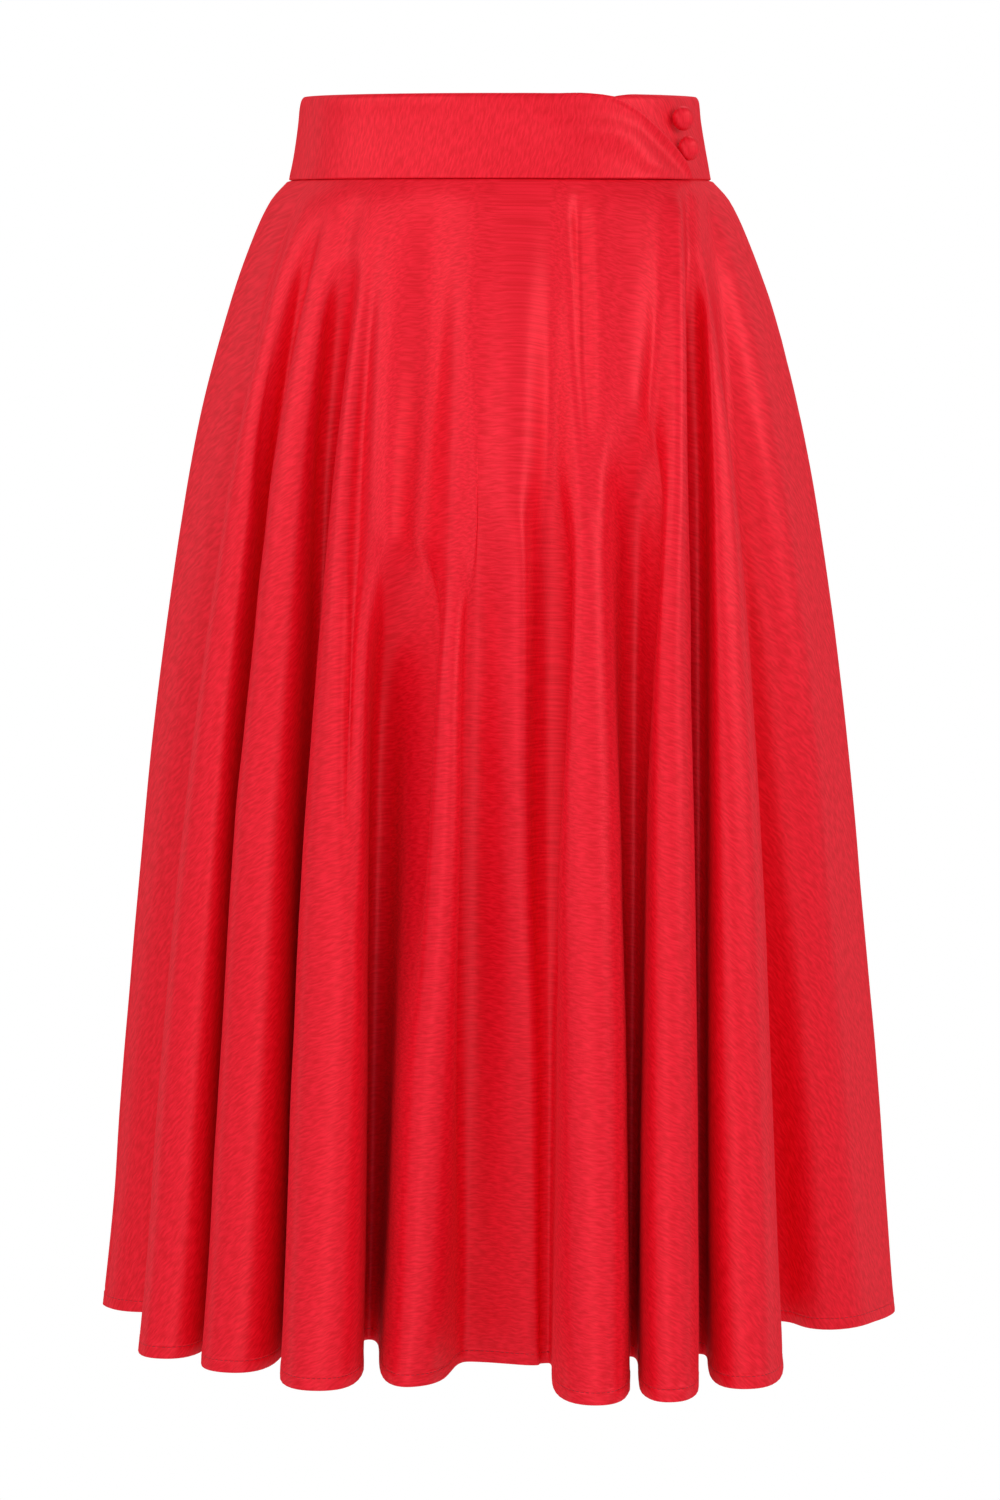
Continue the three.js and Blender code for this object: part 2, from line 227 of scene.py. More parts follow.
# The fine puckers along the hem's stitches: height, length along the hem, length down, how far they reach
# from the stitch line, and their seed and place on the lattice.
PUCKER_HEIGHT, PUCKER_LENGTH, PUCKER_DROP, PUCKER_REACH = 0.3, 11, 9, 7
PUCKER_SEED, PUCKER_PLACE = 8, (60, 5)

# How far the cloth is drawn in at the waist seam and at the side seams, over what distance, and how it
# thins at the side seams.
WAIST_DRAWN, WAIST_REACH = 0.65, 0.5
SIDE_DRAWN, SIDE_REACH = 0.45, 0.9
SIDE_THINNEST, SIDE_THINNING = 0.35, 0.6


def mix(a, b, share):
    return a + (b - a) * share


def smooth(x):
    """0 up to 1 and smooth at both ends."""
    x = np.clip(x, 0, 1)
    return x * x * (3 - 2 * x)


def bell(x):
    return np.exp(-x * x)


def column_at(rows, column, below):
    """A smooth curve through one column of a table, at distances down."""
    knots, values = rows["below"], rows[column]
    index = np.arange(len(knots))
    before, after = np.maximum(index - 1, 0), np.minimum(index + 1, len(knots) - 1)
    slopes = (values[after] - values[before]) / (knots[after] - knots[before])
    i = np.clip(np.searchsorted(knots, below) - 1, 0, len(knots) - 2)
    span = knots[i + 1] - knots[i]
    s = (below - knots[i]) / span
    start = values[i] * (1 + 2 * s) * (1 - s) ** 2 + slopes[i] * span * s * (1 - s) ** 2
    end = values[i + 1] * s * s * (3 - 2 * s) - slopes[i + 1] * span * s * s * (1 - s)
    return start + end


def oval_at(rows, below):
    return [column_at(rows, column, below) for column in ("half_width", "front", "back")]


def on_oval(oval, angle):
    """A place in plan, as x and the distance to the front, and the way the oval's outside looks there."""
    half_width, front, back = oval
    radians = np.radians(angle)
    depth = np.where(np.cos(radians) > 0, front, back)
    place = np.stack([half_width * np.sin(radians), depth * np.cos(radians)], -1)
    facing = np.degrees(np.arctan2(np.sin(radians) / half_width, np.cos(radians) / depth))
    return place, np.where(facing < FACING_LIMIT, facing + 360, facing)


def creases_at(share):
    """Each crease at each share of the drop: its place, its direction along the ring and how open it is."""
    oval = [column[:, None] for column in oval_at(SKIRT_SECTIONS, share * SKIRT_DROP)]
    waist, hem = SKIRT_SECTIONS[0], SKIRT_SECTIONS[-1]
    begun = np.maximum(share[:, None] - CREASES["start"], 0) / (1 - CREASES["start"])
    ease = EASE_LEAST + EASE_BY_START * CREASES["start"]
    opened = (begun * smooth(begun / ease)) ** CREASES["growth"]
    spread = (1 / waist["half_width"] - 1 / oval[0]) / (1 / waist["half_width"] - 1 / hem["half_width"])
    top, foot = np.sin(np.radians(CREASES["waist"])), CREASES["x"] / hem["half_width"]
    x = mix(top, foot, spread ** CREASES["late"])
    level, foot_level = np.sqrt(1 - np.clip(x, -1, 1) ** 2), np.sqrt(1 - foot**2)
    forward = np.cos(np.radians(CREASES["waist"])) > 0
    foot_depth = abs(CREASES["front"]) / np.where(forward, hem["front"], hem["back"])
    y = (level + opened * (foot_depth - foot_level)) * np.where(forward, 1, -1)
    place = np.stack([x * oval[0], y * np.where(forward, oval[1], oval[2])], -1)
    angle = np.degrees(np.arctan2(x, level * np.where(forward, 1, -1)))
    facing = np.radians(mix(on_oval(oval, angle)[1], CREASES["facing"], opened))
    return place, np.stack([np.cos(facing), -np.sin(facing)], -1), opened


def rings_at(share, ring):
    """The cloth's middle in plan: a row for each share of the drop, a column for each place round it."""
    place, along, opened = creases_at(share)
    here = np.floor(ring).astype(int) % len(CREASES)
    after = (here + 1) % len(CREASES)
    even = ring - np.floor(ring)
    s = (even - STEP_CROWDING * np.sin(2 * np.pi * even) / (2 * np.pi))[:, None]
    distance = np.linalg.norm(place[:, after] - place[:, here], axis=-1)
    reach = [mix(distance / 3, CREASES["width"][i], opened[:, i])[:, :, None] for i in (here, after)]
    a, d = place[:, here], place[:, after]
    b, c = a + along[:, here] * reach[0], d - along[:, after] * reach[1]
    return (1 - s) ** 3 * a + 3 * (1 - s) ** 2 * s * b + 3 * (1 - s) * s**2 * c + s**3 * d


def outward_of(grid, closed):
    """The outward direction at each point of a grid whose rows run round and whose columns run down."""
    down = np.gradient(grid, axis=0)
    if closed:
        along = np.roll(grid, -1, axis=1) - np.roll(grid, 1, axis=1)
    else:
        along = np.gradient(grid, axis=1)
    out = np.cross(down, along)
    return out / np.linalg.norm(out, axis=-1, keepdims=True)


def run_lengths(grid):
    """How far along its row each point lies from the row's first one."""
    steps = np.linalg.norm(np.diff(grid, axis=1), axis=-1)
    return np.concatenate([np.zeros((len(grid), 1)), np.cumsum(steps, axis=1)], axis=1)


LATTICE = 64


def ripple(x, y, seed):
    """Smooth random heights from -1 to 1 that change over about one unit of x and y."""
    lattice = np.random.RandomState(int(seed)).uniform(-1, 1, (LATTICE, LATTICE))
    i, j = np.floor(x).astype(int), np.floor(y).astype(int)
    u, v = smooth(x - i), smooth(y - j)

    def corner(p, q):
        return lattice[(i + p) % LATTICE, (j + q) % LATTICE]

    return mix(mix(corner(0, 0), corner(1, 0), u), mix(corner(0, 1), corner(1, 1), u), v)


def mesh_object(name, vertices, faces, material, uv=None):
    """A smooth shaded object from millimetre vertices, with a flat pattern's place for each vertex."""
    mesh = bpy.data.meshes.new(name)
    mesh.from_pydata((np.asarray(vertices) * MM).tolist(), [], faces)
    mesh.polygons.foreach_set("use_smooth", np.ones(len(mesh.polygons), bool))
    if uv is not None:
        corners = np.zeros(len(mesh.loops), int)
        mesh.loops.foreach_get("vertex_index", corners)
        layer = mesh.uv_layers.new(name="pattern")
        layer.data.foreach_set("uv", (np.asarray(uv) * MM)[corners].astype(np.float32).ravel())
    mesh.materials.append(material)
    piece = bpy.data.objects.new(name, mesh)
    bpy.context.scene.collection.objects.link(piece)
    return piece


def shell(name, outer, inner, uv, material):
    """A thin closed shell between two grids of points of the same size."""
    rows, columns = outer.shape[:2]
    index = np.arange(rows * columns).reshape(rows, columns)
    back = index + rows * columns
    quads = [
        (index[:-1, :-1], index[1:, :-1], index[1:, 1:], index[:-1, 1:]),
        (back[:-1, :-1], back[:-1, 1:], back[1:, 1:], back[1:, :-1]),
        (index[1:, 0], index[:-1, 0], back[:-1, 0], back[1:, 0]),
        (index[:-1, -1], index[1:, -1], back[1:, -1], back[:-1, -1]),
        (index[0, :-1], index[0, 1:], back[0, 1:], back[0, :-1]),
        (index[-1, :-1], back[-1, :-1], back[-1, 1:], index[-1, 1:]),
    ]
    faces = np.concatenate([np.stack([corner.ravel() for corner in quad], -1) for quad in quads])
    vertices = np.concatenate([outer.reshape(-1, 3), inner.reshape(-1, 3)])
    flat = uv.reshape(-1, 2)
    return mesh_object(name, vertices, faces.tolist(), material, np.concatenate([flat, flat]))


def areas(grid):
    """The area of each patch between a grid's rows and columns."""
    down, along = np.diff(grid, axis=0), np.diff(grid, axis=1)
    patches = np.cross((down[:, 1:] + down[:, :-1]) / 2, (along[1:] + along[:-1]) / 2)
    return np.linalg.norm(patches, axis=-1)


def skirt_rows():
    """How far below the seam each row lies."""
    hem = SKIRT_DROP - np.array(HEM_ROWS)
    even = (np.arange(1, MIDDLE_ROWS) / MIDDLE_ROWS) ** ROW_CROWDING
    middle = mix(SHOULDER[-1], hem[0], even)
    return np.concatenate([SHOULDER, middle, hem])


def skirt_columns():
    """Places round the ring, with a few more beside each side seam."""
    count = len(CREASES)
    even = np.arange(count * STEPS_BETWEEN_CREASES) / STEPS_BETWEEN_CREASES
    steps = np.array(SEAM_STEPS)
    extra = [(seam + side * steps) % count for seam in (RIGHT_SEAM, LEFT_SEAM) for side in (-1, 1)]
    return np.unique(np.concatenate([even, *extra]))


class Skirt:
    """The skirt's cloth as one closed grid, from which both panels are cut."""

    def __init__(self):
        self.below = skirt_rows()
        self.ring = skirt_columns()
        share = self.below / SKIRT_DROP
        plan = rings_at(share, self.ring)
        height = np.broadcast_to((SKIRT_TOP - self.below)[:, None], plan.shape[:2])
        self.middle = np.stack([plan[:, :, 0], -plan[:, :, 1], height], -1)
        self.along = run_lengths(self.middle)
        self.out = outward_of(self.middle, True)
        self.middle = self.middle + self.out * self.relief(share)[:, :, None]
        self.out = outward_of(self.middle, True)

    def relief(self, share):
        """How far the cloth stands out from its plain folds."""
        closing = np.linalg.norm(self.middle[:, 0] - self.middle[:, -1], axis=-1)
        whole = (self.along[:, -1] + closing)[:, None]
        below = self.below[:, None]
        creases = self.soft_creases(share, whole) * smooth(below / SOFT_FADE_IN)
        waves = self.waves(2 * np.pi * self.along / whole) * smooth(below / WAVES_FADE_IN)
        return creases + waves + self.hem_pucker()

    def soft_creases(self, share, whole):
        total = np.zeros(self.along.shape)
        columns = np.arange(len(self.ring))
        rows = np.arange(len(share))
        for crease in SOFT_CREASES:
            progress = (share - crease["top"]) / (crease["foot"] - crease["top"])
            place = mix(crease["at"], crease["to"], np.clip(progress, 0, 1))
            column = np.interp(place, self.ring, columns)
            low = np.floor(column).astype(int)
            after = (low + 1) % len(columns)
            centre = mix(self.along[rows, low], self.along[rows, after], column - low)
            offset = (self.along - centre[:, None] + whole / 2) % whole - whole / 2
            strength = smooth(progress / SOFT_FADE) * smooth((1 - progress) / SOFT_FADE)
            total += crease["depth"] * strength[:, None] * bell(offset / crease["width"])
        return total

    def waves(self, turn):
        total = 0
        for wave in WAVES:
            x = wave["place"] + wave["turns"] * np.sin(turn) + wave["skew"] * np.cos(turn)
            y = wave["place"] + wave["turns"] * np.cos(turn) + self.below[:, None] / wave["drop"]
            total = total + wave["height"] * ripple(x, y, wave["seed"])
        return total

    def hem_pucker(self):
        above = SKIRT_DROP - self.below[:, None]
        x, y = PUCKER_PLACE[0] + self.along / PUCKER_LENGTH, above / PUCKER_DROP + PUCKER_PLACE[1]
        return PUCKER_HEIGHT * ripple(x, y, PUCKER_SEED) * bell((above - HEM_STITCH_LINE) / PUCKER_REACH)

    def cut(self, start, end):
        """The columns of one panel, from one place round the ring to another."""
        first = int(np.argmin(abs(self.ring - start)))
        if end == len(CREASES):
            return np.append(np.arange(first, len(self.ring)), 0)
        return np.arange(first, int(np.argmin(abs(self.ring - end))) + 1)


class Panel:
    """One panel of the skirt: its shell, its flat pattern and its hem's stitches."""

    def __init__(self, skirt, start, end):
        columns = skirt.cut(start, end)
        self.middle, self.out = skirt.middle[:, columns], skirt.out[:, columns]
        self.below = skirt.below
        self.along = run_lengths(self.middle)
        lengths = self.along[:, -1]
        spacing = 2 * areas(self.middle).sum(axis=1) / (lengths[1:] + lengths[:-1])
        self.down = np.concatenate([[0], np.cumsum(spacing)])
        self.fan = (self.along[-1, -1] - self.along[0, -1]) / self.down[-1]
        self.radius = self.along[0, -1] / self.fan

    def flat(self):
        """Each point's place on the flat pattern, a part of a ring whose straight grain is its middle."""
        turn = (self.along[-1] / self.along[-1, -1] - 0.5) * self.fan
        radius = (self.radius + self.down)[:, None]
        return np.stack([radius * np.sin(turn), -radius * np.cos(turn)], -1)

    def cut_size(self):
        """The flat pattern's width, length and area, in metres."""
        outer = self.radius + self.down[-1]
        width = 2 * outer * math.sin(min(self.fan, math.pi) / 2)
        length = outer - self.radius * math.cos(self.fan / 2)
        area = self.fan / 2 * (outer**2 - self.radius**2)
        return width * MM, length * MM, area * MM * MM

    def faces(self):
        """The grids of the outside and the inside, with the seam tuck at the top and the turned hem."""
        above = SKIRT_DROP - self.below
        turned = smooth((HEM_TURN + HEM_STEP / 2 - above) / HEM_STEP)
        near_edge = 1 - np.clip(above / HEM_ROUND, 0, 1)
        edge = mix(HEM_THINNEST, 1, np.sqrt(1 - near_edge**2))
        thickness = CLOTH_THICKNESS / 2 - GROOVE_DEPTH * bell((above - HEM_STITCH_LINE) / GROOVE_REACH)
        outside = (thickness + HEM_OUTWARD * turned) * edge
        inside = (thickness + HEM_INWARD * turned) * edge
        sides = np.minimum(self.along, self.along[:, -1:] - self.along)
        slim = mix(SIDE_THINNEST, 1, smooth(sides / SIDE_THINNING))
        waist_drawn = WAIST_DRAWN * bell(self.below / WAIST_REACH)
        drawn = waist_drawn[:, None] + SIDE_DRAWN * bell(sides / SIDE_REACH)
        middle = self.middle - self.out * drawn[:, :, None]
        outer = middle + self.out * (outside[:, None] * slim)[:, :, None]
        inner = middle - self.out * (inside[:, None] * slim)[:, :, None]
        level = self.out[0] * (1, 1, 0)
        level /= np.linalg.norm(level, axis=-1, keepdims=True)
        tuck = np.stack([self.middle[0] + (0, 0, row["rise"]) - level * row["inward"] for row in TUCK])
        half = level * CLOTH_THICKNESS / 2
        return np.concatenate([tuck + half, outer]), np.concatenate([tuck - half, inner])

    def shell(self, name, material):
        outer, inner = self.faces()
        flat = self.flat()
        allowance = [flat[0] * (1 - row["rise"] / self.radius) for row in TUCK]
        return shell(name, outer, inner, np.concatenate([np.stack(allowance), flat]), material)

    def hem_line(self):
        """The outside's points along the hem's stitch line, with the outward direction there."""
        row = int(np.argmin(abs(SKIRT_DROP - self.below - HEM_STITCH_LINE)))
        outer = self.faces()[0]
        return outer[row + len(TUCK)], self.out[row]


STITCH_PITCH = 3.1
STITCH_LENGTH = 2.3
STITCH_WIDTH = 0.42
STITCH_HEIGHT = 0.16
STITCH_LIFT = 0.05
STITCH_SHAPE = table("along size", (-0.5, 0.25), (-0.32, 1), (0.32, 1), (0.5, 0.25))
LOOK_AHEAD = 0.2


def stitches(name, line, out, material):
    """A run of raised lockstitches along a line of points, joined as one mesh."""
    reach = run_lengths(line[None])[0]

    def at(place, points):
        return np.stack([np.interp(place, reach, points[:, k]) for k in range(3)], -1)

    corners = np.array([(1, 0), (0, 1), (-1, 0), (0, -1)]) * (STITCH_WIDTH / 2, STITCH_HEIGHT)
    vertices, faces = [], []
    for centre in np.arange(STITCH_PITCH, reach[-1] - STITCH_PITCH / 2, STITCH_PITCH):
        first = len(vertices)
        for station in STITCH_SHAPE:
            place = centre + station["along"] * STITCH_LENGTH
            middle, normal = at(place, line), at(place, out)
            across = np.cross(normal, at(place + LOOK_AHEAD, line) - middle)
            across /= np.linalg.norm(across)
            raised = middle + normal * STITCH_LIFT
            vertices += [raised + station["size"] * (x * across + y * normal) for x, y in corners]
        for ring in (first, first + 4, first + 8):
            sides = [(ring + i, ring + (i + 1) % 4) for i in range(4)]
            faces += [(a, b, b + 4, a + 4) for a, b in sides]
        faces += [(first + 3, first + 2, first + 1, first), tuple(range(first + 12, first + 16))]
    return mesh_object(name, vertices, faces, material)


# The waistband's columns, as shares of its length, closest together at its free end; its rows at both
# edges, as distances from them; and how many rows lie between.
BAND_END_STEPS = (0.9575, 0.966, 0.974, 0.981, 0.987, 0.9915, 0.9942, 0.9962, 0.9976, 0.9987, 0.9995, 1)
FRONT_STEPS = np.concatenate([np.linspace(0, 0.948, 196), BAND_END_STEPS])
BACK_STEPS = np.concatenate([1 - np.array(BAND_END_STEPS)[::-1], np.linspace(0.05, 1, 260)])
BAND_EDGE_ROWS = (0, 0.12, 0.4, 0.8, 1.4, 2.2, 3.2)
BAND_MIDDLE_ROWS = 44
SIDE_ANGLES = (-90, 270)
BAND_THINNEST = 0.12

# The band's small unevenness: puckers at the waist seam and broad waves between the edges, each with its seed
# and its place on the lattice.
BAND_PUCKER, BAND_PUCKER_LENGTH = 0.22, 5
BAND_PUCKER_SEED, BAND_PUCKER_PLACE = 12, 3
BAND_WAVE, BAND_WAVE_LENGTH, BAND_WAVE_DROP, BAND_WAVE_FADE = 0.35, 34, 40, 12
BAND_WAVE_SEED, BAND_WAVE_PLACE = 14, 5

# The flap's relief, as bells at distances from its free edge: the thin roll along the edge; then the raised
# edge, the soft trough beside it and the swell behind, which fade in under the top and out over the seam.
FLAP_ROLL = table("height place width", (0.6, 1.4, 1.2))
FLAP_SWELLS = table("height place width", (2.2, 0, 4), (-0.6, 8.5, 4.5), (2, 20, 9))
SWELL_TOP, SWELL_FADE_IN = 6, 20
SWELL_FOOT, SWELL_FADE_OUT = 52, 12


def band_rows():
    """Distances below the band's top edge, closest together at both edges."""
    low = BAND_ENDS["below"][-1]
    edge = np.array(BAND_EDGE_ROWS)
    middle = np.linspace(edge[-1], low - edge[-1], BAND_MIDDLE_ROWS)
    return np.concatenate([edge[:-1], middle, (low - edge[:-1])[::-1]])


def rounded(distance, radius):
    """A wall's share of its thickness near a rounded edge."""
    near = np.clip(distance / radius, 0, 1)
    return np.maximum(np.sqrt(1 - (1 - near) ** 2), BAND_THINNEST)


def distance_to(points, line):
    return np.min(np.linalg.norm(points[:, :, None] - line[None, None], axis=-1), axis=-1)


def step(angle, angles):
    """0 up to 1 between two angles, without a kink at either."""
    start, end = angles
    s = np.clip((angle - start) / (end - start), 0, 1)
    return s**3 * (s * (6 * s - 15) + 10)


def flap_step(angle):
    """How far out from its oval the front band stands, to pass over the underlap."""
    return CROSSING_STEP * step(angle, FLAP_STEP)


def underlap_step(angle):
    """How far out from its oval the back band stands: below 0, to pass under the flap."""
    return -CROSSING_STEP * step(angle, UNDERLAP_STEP)


def band_grid(below, columns, start, end, step_out):
    """The band's middle, from the angles where each row starts and ends."""
    angle = mix(start[:, None], end[:, None], columns[None, :])
    oval = [column[:, None] for column in oval_at(BAND_SECTIONS, below)]
    place, facing = on_oval(oval, angle)
    facing = np.radians(facing)
    lift = step_out(angle)
    x = place[:, :, 0] + np.sin(facing) * lift
    y = place[:, :, 1] + np.cos(facing) * lift
    height = np.broadcast_to((BAND_TOP - below)[:, None], x.shape)
    return np.stack([x, -y, height], -1)


def band_shell(name, middle, below, seamed, free, relief, material):
    """The band's wall, rounded at its top, foot and free end, and its cut's length, height and area.

    seamed and free are the columns at its side seam and at its free end.
    """
    out = outward_of(middle, False)
    radius = BAND_THICKNESS / 2
    to_edge = distance_to(middle, middle[:, free])
    top, seam = below[:, None], below[-1] - below[:, None]
    near = np.minimum(np.minimum(rounded(top, radius), rounded(seam, radius / 2)), rounded(to_edge, radius))
    along = run_lengths(middle)
    near_seam = seam / BAND_PUCKER_LENGTH
    pucker = ripple(along / BAND_PUCKER_LENGTH, near_seam + BAND_PUCKER_PLACE, BAND_PUCKER_SEED)
    waves = ripple(along / BAND_WAVE_LENGTH, top / BAND_WAVE_DROP + BAND_WAVE_PLACE, BAND_WAVE_SEED)
    inland = smooth(top / BAND_WAVE_FADE) * smooth(seam / BAND_WAVE_FADE)
    shift = BAND_PUCKER * pucker * bell(near_seam) + BAND_WAVE * waves * inland
    middle = middle + out * (relief(to_edge, top) + shift)[:, :, None]
    half = radius * near[:, :, None]
    flat = np.stack([np.broadcast_to(-top, along.shape), along - along[:, [seamed]]], -1)
    band = shell(name, middle + out * half, middle - out * half, flat, material)
    return band, (along.max() * MM, below[-1] * MM, areas(middle).sum() * MM * MM)


def bells(rows, distance):
    """The heights of a table's bells together."""
    return sum(row["height"] * bell((distance - row["place"]) / row["width"]) for row in rows)


def flap_relief(to_edge, top):
    place = smooth((top - SWELL_TOP) / SWELL_FADE_IN) * smooth((SWELL_FOOT - top) / SWELL_FADE_OUT)
    return bells(FLAP_ROLL, to_edge) + bells(FLAP_SWELLS, to_edge) * place


def no_relief(to_edge, top):
    return np.zeros(to_edge.shape)


def waistband(material):
    """The front and the back stretch of the band."""
    below = band_rows()
    flap, underlap = (column_at(BAND_ENDS, end, below) for end in ("flap", "underlap"))
    right_side, left_side = (np.full(below.shape, float(angle)) for angle in SIDE_ANGLES)
    middle = band_grid(below, FRONT_STEPS, right_side, flap, flap_step)
    front = band_shell("waistband_front_cloth", middle, below, 0, -1, flap_relief, material)
    middle = band_grid(below, BACK_STEPS, underlap, left_side, underlap_step)
    back = band_shell("waistband_back_cloth", middle, below, -1, 0, no_relief, material)
    return front, back


# The covered buttons; the band's wall, which their shanks clear by a small gap; each one's x and height; and
# how many degrees round from the front their faces look.
BUTTON_RADIUS = 7.3
BUTTON_DOME = 5.4
BUTTON_RIM = 1.6
BUTTON_SIDES = 96
SHANK_RADIUS = 2.2
SHANK_LENGTH = 3
BAND_WALL = 2.4
SEAM_GAP = 0.3
BUTTONS = {"button_upper": (106.4, 11.3), "button_lower": (109.8, -6.4)}
BUTTON_FACING = 30

# The shank as shares of its radius and length, the flat under the button, and how full the dome is: lower
# is fuller. No ring of points is narrower than the least radius.
SHANK = table("radius height", (1, 0), (0.9, 0.6), (1.2, 1))
UNDERSIDE = (0.8, 0.05)
DOME_FULLNESS = 0.72
LEAST_RADIUS = 0.001

# The angles of a button's rings over its rim and over its dome.
RIM_ANGLES = np.linspace(-70, 0, 7)
DOME_ANGLES = np.linspace(4, 90, 20)

# The cover's small gathers round the rim, and the radius over which a ring has them.
GATHERS = table("height count phase", (1, 19, 0.7), (0.6, 31, 0))
GATHER_HEIGHT, GATHER_REACH = 0.07, 1.1
GATHERED_FROM = 3.3


def button_profile():
    """Radius and height of a covered button, from its shank's foot over the rim to its dome's middle."""
    points = [(LEAST_RADIUS, 0)]
    points += [(SHANK_RADIUS * row["radius"], SHANK_LENGTH * row["height"]) for row in SHANK]
    points.append((BUTTON_RADIUS * UNDERSIDE[0], SHANK_LENGTH + UNDERSIDE[1]))
    rim = BUTTON_RIM / 2
    for angle in np.radians(RIM_ANGLES):
        radius = BUTTON_RADIUS - rim + rim * math.cos(angle)
        points.append((radius, SHANK_LENGTH + rim + rim * math.sin(angle)))
    for angle in np.radians(DOME_ANGLES):
        radius = max(BUTTON_RADIUS * math.cos(angle) ** DOME_FULLNESS, LEAST_RADIUS)
        points.append((radius, SHANK_LENGTH + rim + (BUTTON_DOME - rim) * math.sin(angle)))
    return np.array(points)


def button(name, x, height, material):
    oval = oval_at(BAND_SECTIONS, np.array([BAND_TOP - height], float))
    angle = np.degrees(np.arcsin(x / oval[0]))
    place, facing = on_oval(oval, angle)
    face, lean = math.radians(facing[0]), math.radians(BUTTON_FACING)
    lift = BAND_WALL / 2 + underlap_step(angle)[0] + SEAM_GAP + math.sin(face - lean) * SHANK_RADIUS
    foot = np.array([place[0, 0] + math.sin(face) * lift, -place[0, 1] - math.cos(face) * lift, height])
    axis = np.array([math.sin(lean), -math.cos(lean), 0])
    side = np.array([math.cos(lean), math.sin(lean), 0])
    profile = button_profile()
    turn = np.linspace(0, 2 * np.pi, BUTTON_SIDES, endpoint=False)
    spokes = np.cos(turn)[:, None] * side + np.sin(turn)[:, None] * (0, 0, 1)
    gathers = sum(row["height"] * np.sin(row["count"] * turn + row["phase"]) for row in GATHERS)
    rim_height = SHANK_LENGTH + BUTTON_RIM / 2
    vertices, flat = [], []
    for radius, level in profile:
        gathered = bell((level - rim_height) / GATHER_REACH) * (radius > GATHERED_FROM)
        reach = radius + GATHER_HEIGHT * gathers * gathered
        vertices.append(foot + axis * level + reach[:, None] * spokes)
        flat.append(np.stack([np.sin(turn), np.cos(turn)], -1) * (radius + max(rim_height - level, 0)))
    rows = len(profile)
    index = np.arange(rows * BUTTON_SIDES).reshape(rows, BUTTON_SIDES)
    beside = np.roll(index, -1, axis=1)
    quads = np.stack([index[:-1], beside[:-1], beside[1:], index[1:]], -1).reshape(-1, 4).tolist()
    quads += [index[0][::-1].tolist(), index[-1].tolist()]
    return mesh_object(name, np.concatenate(vertices), quads, material, np.concatenate(flat))


class Shader:
    """A short way to write a material's nodes."""

    def __init__(self, name):
        self.material = bpy.data.materials.new(name)
        self.material.use_nodes = True
        self.nodes = self.material.node_tree.nodes
        self.links = self.material.node_tree.links
        self.surface = self.nodes["Principled BSDF"]

    def plug(self, socket, value):
        if isinstance(value, bpy.types.NodeSocket):
            self.links.new(value, socket)
        else:
            socket.default_value = value

    def node(self, kind, settings=(), **inputs):
        """A new node. An input is named by its label, or as _ and its number."""
        made = self.nodes.new("ShaderNode" + kind)
        for key, value in dict(settings).items():
            setattr(made, key, value)
        for key, value in inputs.items():
            self.plug(made.inputs[int(key[1:]) if key[1:].isdigit() else key.replace("_", " ")], value)
        return made

    def compute(self, kind, operation, a, b):
        return self.node(kind, {"operation": operation}, _0=a, _1=b).outputs[0]

    def noise(self, place, scale, detail):
        return self.node("TexNoise", {"noise_dimensions": "2D"}, Vector=place, Scale=scale, Detail=detail)

    def set(self, **inputs):
        for key, value in inputs.items():
            self.plug(self.surface.inputs[key.replace("_", " ")], value)


# The crepe's crinkles to a metre of cloth, along them and across them, and how far they wander, in metres.
CRINKLES = (160, 800, 1)
CRINKLE_WANDER = (0.0004, 0.0018, 0)
CRINKLE_HEIGHT = 0.0002
CRINKLE_STRENGTH = 0.9
WANDER_SCALE, PATCH_SCALE, THREAD_SCALE = 170.0, 26.0, 2600.0
THREAD_SHARE = 0.05

# The cloth is smoother seen straight on, and rough where it turns away.
SATIN_ROUGHNESS, GRAZING_ROUGHNESS = 0.45, 1.0
GRAZING_FROM, GRAZING_TO = 0.45, 0.9


